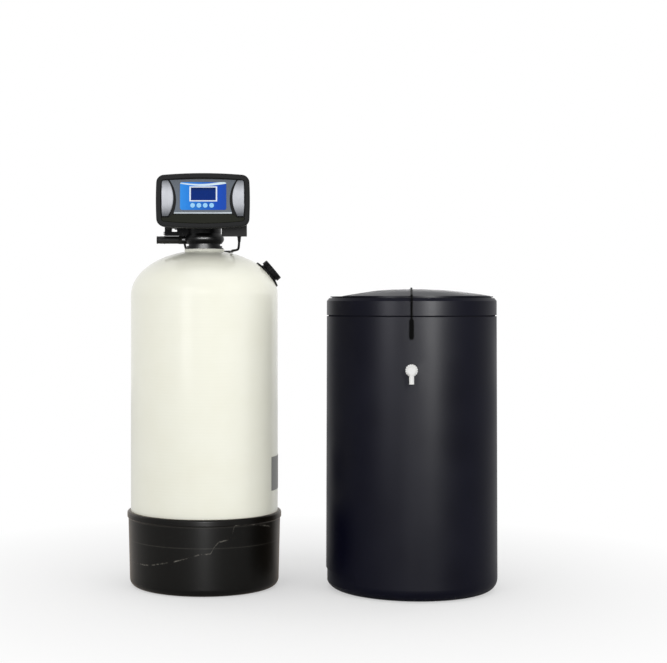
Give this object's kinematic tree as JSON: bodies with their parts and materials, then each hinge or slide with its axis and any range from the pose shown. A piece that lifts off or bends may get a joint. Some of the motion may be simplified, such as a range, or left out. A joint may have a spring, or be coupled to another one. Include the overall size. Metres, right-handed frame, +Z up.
{
  "type": "water softener",
  "caption": "Water softener: tall pressure tank with a control valve and display head on top, and a round lidded brine tank beside it.",
  "frame": {"origin": "middle of the resin tank's foot, on the floor", "axes": "+Z up, -Y towards the front (display) side, +X to the right, towards the brine tank"},
  "size_m": [0.7539, 0.3857, 0.8363],
  "materials": {
    "wound_shell": "glass fibre wound in epoxy, glossy ivory",
    "liner_plastic": "blow-moulded polyethylene, natural white",
    "insert_plastic": "glass-filled moulding, ivory like the shell",
    "boot_plastic": "moulded polyethylene, satin black with scuffs",
    "plate_foil": "printed foil, blank grey",
    "port_plastic": "glass-filled moulding, black",
    "gravel": "rounded quartz gravel",
    "resin_beads": "small amber beads",
    "white_plastic": "moulded plastic, white",
    "seal_rubber": "moulded rubber, black",
    "valve_plastic": "glass-filled moulding, dark grey",
    "disc_ceramic": "lapped ceramic, off-white",
    "gear_plastic": "moulded acetal, natural",
    "brass_part": "cut brass",
    "motor_steel": "drawn zinc-plated steel",
    "plate_steel": "stamped zinc-plated steel",
    "screw_steel": "rolled stainless screws",
    "fitting_plastic": "moulded plastic, black",
    "sensor_plastic": "moulded plastic, black",
    "lead_sheath": "extruded sheath, black",
    "head_plastic": "moulded plastic, satin black",
    "fascia_plastic": "moulded plastic, metallic dark grey",
    "wing_silver": "brushed silver coating on a moulding",
    "strip_chrome": "plated trim",
    "trim_gloss": "moulded plastic, glossy olive black",
    "label_film": "printed film, blue with a white curve and a white frame",
    "display_glass": "clear moulded window",
    "module_black": "liquid crystal display, dark blue when off",
    "board_green": "etched laminate, green",
    "button_blue": "moulded plastic, light blue",
    "brine_plastic": "rotation-moulded polyethylene, satin black",
    "lid_plastic": "moulded polyethylene, satin black",
    "strap_rubber": "moulded rubber, black",
    "elbow_white": "moulded plastic, white",
    "well_plastic": "extruded tube, white",
    "cap_plastic": "moulded plastic, black",
    "float_plastic": "closed-cell float on a moulded rod, white",
    "grid_plastic": "moulded plastic, grey"
  },
  "bodies": {
    "stand": {"tank_shell": "wound_shell", "tank_liner": "liner_plastic", "neck_insert": "insert_plastic", "tank_boot": "boot_plastic", "data_plate": "plate_foil", "fill_port_saddle": "port_plastic", "gravel_bed": "gravel", "resin_bed": "resin_beads", "lower_distributor": "white_plastic", "riser_tube": "white_plastic", "upper_strainer": "white_plastic", "seal_rings": "seal_rubber", "valve_body": "valve_plastic", "fixed_disc": "disc_ceramic", "valve_bonnet": "valve_plastic", "gear_motor": "motor_steel", "gearbox_plate": "plate_steel", "valve_screws": "screw_steel", "injector_block": "valve_plastic", "injector_nozzle": "fitting_plastic", "connector_nut": "fitting_plastic", "drain_stub": "fitting_plastic", "turbine_cage": "white_plastic", "flow_sensor": "sensor_plastic", "cable_gland": "fitting_plastic", "sensor_lead": "lead_sheath", "head_front_frame": "head_plastic", "head_back_cover": "head_plastic", "head_screws": "screw_steel", "fascia_panel": "fascia_plastic", "side_wings": "wing_silver", "bright_strip": "strip_chrome", "lower_trim": "trim_gloss", "label_panel": "label_film", "display_window": "display_glass", "display_module": "module_black", "control_board": "board_green", "brine_tank": "brine_plastic", "overflow_elbow": "elbow_white", "overflow_nut": "elbow_white", "brine_well": "well_plastic", "float_valve": "white_plastic", "pickup_tube": "white_plastic", "check_cage": "white_plastic", "salt_grid": "grid_plastic"},
    "disc_drive": {"disc_carrier": "gear_plastic", "moving_disc": "disc_ceramic", "drive_gear": "gear_plastic"},
    "pinion": {"motor_pinion": "brass_part"},
    "turbine": {"flow_turbine": "white_plastic"},
    "port_cap": {"fill_port_cap": "port_plastic"},
    "lid": {"brine_lid": "lid_plastic", "lid_strap": "strap_rubber"},
    "well_lid": {"well_cap": "cap_plastic"},
    "float_assembly": {"brine_float": "float_plastic"},
    "ball": {"check_ball": "seal_rubber"},
    "key_1": {"button_1": "button_blue"},
    "key_2": {"button_2": "button_blue"},
    "key_3": {"button_3": "button_blue"},
    "key_4": {"button_4": "button_blue"}
  },
  "joints": [
    {"name": "disc_turn", "type": "hinge", "parent": "stand", "child": "disc_drive", "pos_m": [0, 0, 0.775], "axis": [0, 1, 0], "continuous": true},
    {"name": "pinion_turn", "type": "hinge", "parent": "stand", "child": "pinion", "pos_m": [0.042, 0, 0.775], "axis": [0, 1, 0], "continuous": true},
    {"name": "turbine_spin", "type": "hinge", "parent": "stand", "child": "turbine", "pos_m": [-0.045, 0, 0.775], "axis": [0, 1, 0], "continuous": true},
    {"name": "port_cap_lift", "type": "slide", "parent": "stand", "child": "port_cap", "axis": [0.766, 0, 0.6428], "range_m": [0, 0.035]},
    {"name": "lid_lift", "type": "slide", "parent": "stand", "child": "lid", "axis": [0, 0, 1], "range_m": [0, 0.12]},
    {"name": "well_cap_lift", "type": "slide", "parent": "stand", "child": "well_lid", "axis": [0, 0, 1], "range_m": [0, 0.024]},
    {"name": "float_rise", "type": "slide", "parent": "stand", "child": "float_assembly", "axis": [0, 0, 1], "range_m": [0, 0.024]},
    {"name": "ball_rise", "type": "slide", "parent": "stand", "child": "ball", "axis": [0, 0, 1], "range_m": [0, 0.006]},
    {"name": "press_1", "type": "slide", "parent": "stand", "child": "key_1", "axis": [0, 1, 0], "range_m": [0, 0.0006], "stiffness_N_per_m": 300},
    {"name": "press_2", "type": "slide", "parent": "stand", "child": "key_2", "axis": [0, 1, 0], "range_m": [0, 0.0006], "stiffness_N_per_m": 300},
    {"name": "press_3", "type": "slide", "parent": "stand", "child": "key_3", "axis": [0, 1, 0], "range_m": [0, 0.0006], "stiffness_N_per_m": 300},
    {"name": "press_4", "type": "slide", "parent": "stand", "child": "key_4", "axis": [0, 1, 0], "range_m": [0, 0.0006], "stiffness_N_per_m": 300}
  ],
  "couplings": [
    {"joint": "pinion_turn", "follows": "disc_turn", "ratio": -3}
  ]
}
